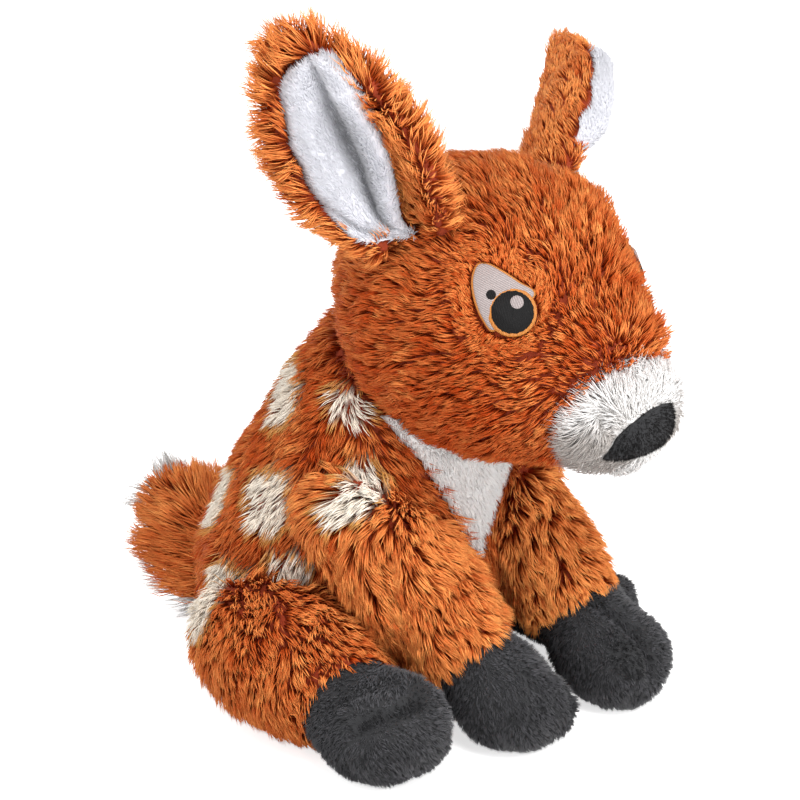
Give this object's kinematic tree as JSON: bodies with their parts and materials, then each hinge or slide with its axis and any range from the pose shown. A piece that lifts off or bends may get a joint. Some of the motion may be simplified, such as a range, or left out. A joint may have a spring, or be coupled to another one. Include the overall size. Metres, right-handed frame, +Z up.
{
  "type": "plush fawn",
  "caption": "Seated plush fawn in rust long pile with cream spots, white bib and muzzle, black hooves, cupped ears and stitched eyes",
  "frame": {"origin": "middle of the flat patch under the torso, on the surface that the fawn sits on", "axes": "+Z up, -Y the way the fawn faces, +X its own left"},
  "size_m": [0.2105, 0.2618, 0.2874],
  "materials": {
    "rust_pile": "long polyester pile, rust with ochre tips",
    "white_pile": "white polyester pile",
    "black_pile": "short black plush",
    "nose_pile": "short black-brown plush",
    "fibre_filling": "loose polyester fibre",
    "white_thread": "satin stitched rayon thread",
    "black_thread": "satin stitched rayon thread",
    "amber_thread": "satin stitched rayon thread"
  },
  "bodies": {
    "torso": {"torso_cover": "rust_pile", "torso_filling": "fibre_filling", "chest_bib": "white_pile"},
    "head": {"head_cover": "rust_pile", "head_filling": "fibre_filling", "muzzle_cover": "white_pile", "muzzle_filling": "fibre_filling", "nose_pad": "nose_pile", "right_eye_white": "white_thread", "right_eye_ring": "amber_thread", "right_eye_pupil": "black_thread", "right_eye_highlight": "white_thread", "right_eye_corner_dot": "black_thread", "left_eye_white": "white_thread", "left_eye_ring": "amber_thread", "left_eye_pupil": "black_thread", "left_eye_highlight": "white_thread", "left_eye_corner_dot": "black_thread"},
    "right_ear": {"right_ear_back": "rust_pile", "right_ear_lining": "white_pile"},
    "left_ear": {"left_ear_back": "rust_pile", "left_ear_lining": "white_pile"},
    "right_foreleg": {"right_foreleg_cover": "rust_pile", "right_foreleg_filling": "fibre_filling", "right_forehoof_cover": "black_pile", "right_forehoof_sole": "black_pile"},
    "left_foreleg": {"left_foreleg_cover": "rust_pile", "left_foreleg_filling": "fibre_filling", "left_forehoof_cover": "black_pile", "left_forehoof_sole": "black_pile"},
    "right_hindleg": {"right_hindleg_cover": "rust_pile", "right_hindleg_filling": "fibre_filling", "right_hindhoof_cover": "black_pile", "right_hindhoof_sole": "black_pile"},
    "left_hindleg": {"left_hindleg_cover": "rust_pile", "left_hindleg_filling": "fibre_filling", "left_hindhoof_cover": "black_pile", "left_hindhoof_sole": "black_pile"},
    "tail": {"tail_top": "rust_pile", "tail_underside": "white_pile"}
  },
  "joints": [
    {"name": "head_turn", "type": "hinge", "parent": "torso", "child": "head", "pos_m": [0, -0.066, 0.171], "axis": [0, 0, 1], "range_deg": [-15, 15], "stiffness_Nm_per_rad": 0.5},
    {"name": "right_ear_fold", "type": "hinge", "parent": "head", "child": "right_ear", "pos_m": [-0.03944, -0.06462, 0.20911], "axis": [0, 1, 0], "range_deg": [-18, 12], "stiffness_Nm_per_rad": 0.2},
    {"name": "left_ear_fold", "type": "hinge", "parent": "head", "child": "left_ear", "pos_m": [0.03944, -0.06462, 0.20911], "axis": [0, 1, 0], "range_deg": [-12, 18], "stiffness_Nm_per_rad": 0.2},
    {"name": "right_foreleg_lift", "type": "hinge", "parent": "torso", "child": "right_foreleg", "pos_m": [-0.04401, -0.036, 0.098], "axis": [1, 0, 0], "range_deg": [-20, 0], "stiffness_Nm_per_rad": 0.5},
    {"name": "left_foreleg_lift", "type": "hinge", "parent": "torso", "child": "left_foreleg", "pos_m": [0.037, -0.036, 0.098], "axis": [1, 0, 0], "range_deg": [-20, 0], "stiffness_Nm_per_rad": 0.5},
    {"name": "right_hindleg_splay", "type": "hinge", "parent": "torso", "child": "right_hindleg", "pos_m": [-0.05799, -0.008, 0.03624], "axis": [0, 0, 1], "range_deg": [-12, 0], "stiffness_Nm_per_rad": 0.5},
    {"name": "left_hindleg_splay", "type": "hinge", "parent": "torso", "child": "left_hindleg", "pos_m": [0.05799, 0.01, 0.03624], "axis": [0, 0, 1], "range_deg": [0, 12], "stiffness_Nm_per_rad": 0.5},
    {"name": "tail_lift", "type": "hinge", "parent": "torso", "child": "tail", "pos_m": [0, 0.05483, 0.019], "axis": [1, 0, 0], "range_deg": [-6, 20], "stiffness_Nm_per_rad": 0.2}
  ]
}
